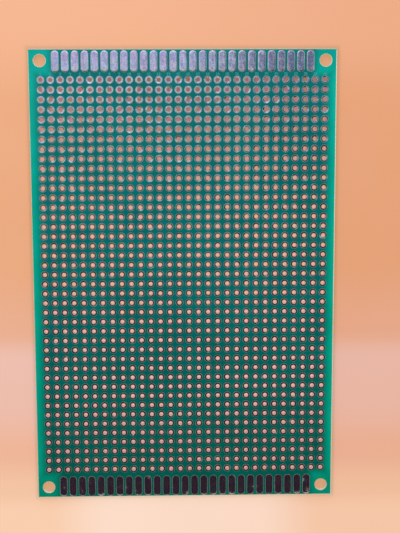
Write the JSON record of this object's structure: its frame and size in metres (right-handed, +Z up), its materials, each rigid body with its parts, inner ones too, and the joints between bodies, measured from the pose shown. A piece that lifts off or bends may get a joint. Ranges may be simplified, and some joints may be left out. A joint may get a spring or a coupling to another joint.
{
  "type": "prototype board",
  "caption": "Bare double-sided prototype circuit board with a grid of plated holes, a row of edge contacts at each short end and corner mounting holes.",
  "frame": {"origin": "middle of the underside, on the surface that the board lies on", "axes": "+X across the short edge, +Y along the long edge towards hole row 1, +Z up out of the component side"},
  "size_m": [0.08, 0.12, 0.0016],
  "materials": {
    "laminate": "glass-fibre and epoxy laminate, bare at the scored edges and in the corner holes",
    "solder_mask": "glossy green photo-imaged solder mask",
    "tinned_copper": "hot-air-levelled tin on copper, bright and slightly uneven"
  },
  "bodies": {
    "root": {"laminate_core": "laminate", "front_solder_mask": "solder_mask", "back_solder_mask": "solder_mask", "front_top_contacts": "tinned_copper", "front_bottom_contacts": "tinned_copper", "back_top_contacts": "tinned_copper", "back_bottom_contacts": "tinned_copper", "plated_holes_row_01": "tinned_copper", "plated_holes_row_02": "tinned_copper", "plated_holes_row_03": "tinned_copper", "plated_holes_row_04": "tinned_copper", "plated_holes_row_05": "tinned_copper", "plated_holes_row_06": "tinned_copper", "plated_holes_row_07": "tinned_copper", "plated_holes_row_08": "tinned_copper", "plated_holes_row_09": "tinned_copper", "plated_holes_row_10": "tinned_copper", "plated_holes_row_11": "tinned_copper", "plated_holes_row_12": "tinned_copper", "plated_holes_row_13": "tinned_copper", "plated_holes_row_14": "tinned_copper", "plated_holes_row_15": "tinned_copper", "plated_holes_row_16": "tinned_copper", "plated_holes_row_17": "tinned_copper", "plated_holes_row_18": "tinned_copper", "plated_holes_row_19": "tinned_copper", "plated_holes_row_20": "tinned_copper", "plated_holes_row_21": "tinned_copper", "plated_holes_row_22": "tinned_copper", "plated_holes_row_23": "tinned_copper", "plated_holes_row_24": "tinned_copper", "plated_holes_row_25": "tinned_copper", "plated_holes_row_26": "tinned_copper", "plated_holes_row_27": "tinned_copper", "plated_holes_row_28": "tinned_copper", "plated_holes_row_29": "tinned_copper", "plated_holes_row_30": "tinned_copper", "plated_holes_row_31": "tinned_copper", "plated_holes_row_32": "tinned_copper", "plated_holes_row_33": "tinned_copper", "plated_holes_row_34": "tinned_copper", "plated_holes_row_35": "tinned_copper", "plated_holes_row_36": "tinned_copper", "plated_holes_row_37": "tinned_copper", "plated_holes_row_38": "tinned_copper", "plated_holes_row_39": "tinned_copper", "plated_holes_row_40": "tinned_copper", "plated_holes_row_41": "tinned_copper", "plated_holes_row_42": "tinned_copper"}
  },
  "joints": []
}
